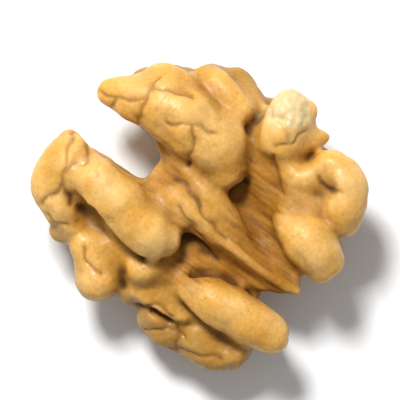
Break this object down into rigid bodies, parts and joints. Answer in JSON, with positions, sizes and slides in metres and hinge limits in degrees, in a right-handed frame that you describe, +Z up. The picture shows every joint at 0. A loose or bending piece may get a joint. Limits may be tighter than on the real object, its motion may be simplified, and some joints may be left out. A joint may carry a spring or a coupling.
{
  "type": "shelled walnut kernel half",
  "caption": "Half of a shelled walnut kernel, lying on its rounded back with its folded, hollow inner side up.",
  "frame": {"origin": "on the resting plane, under the middle of the kernel's box", "axes": "+Z up out of the hollow inner side, +Y along the kernel from the open notch to the tail of the keel, +X to the lobe with the long finger-like fold"},
  "size_m": [0.0334, 0.0358, 0.014],
  "materials": {
    "kernel_skin": "thin golden-brown skin with a soft waxy sheen, darker in the creases"
  },
  "bodies": {
    "root": {"walnut_kernel": "kernel_skin"}
  },
  "joints": []
}
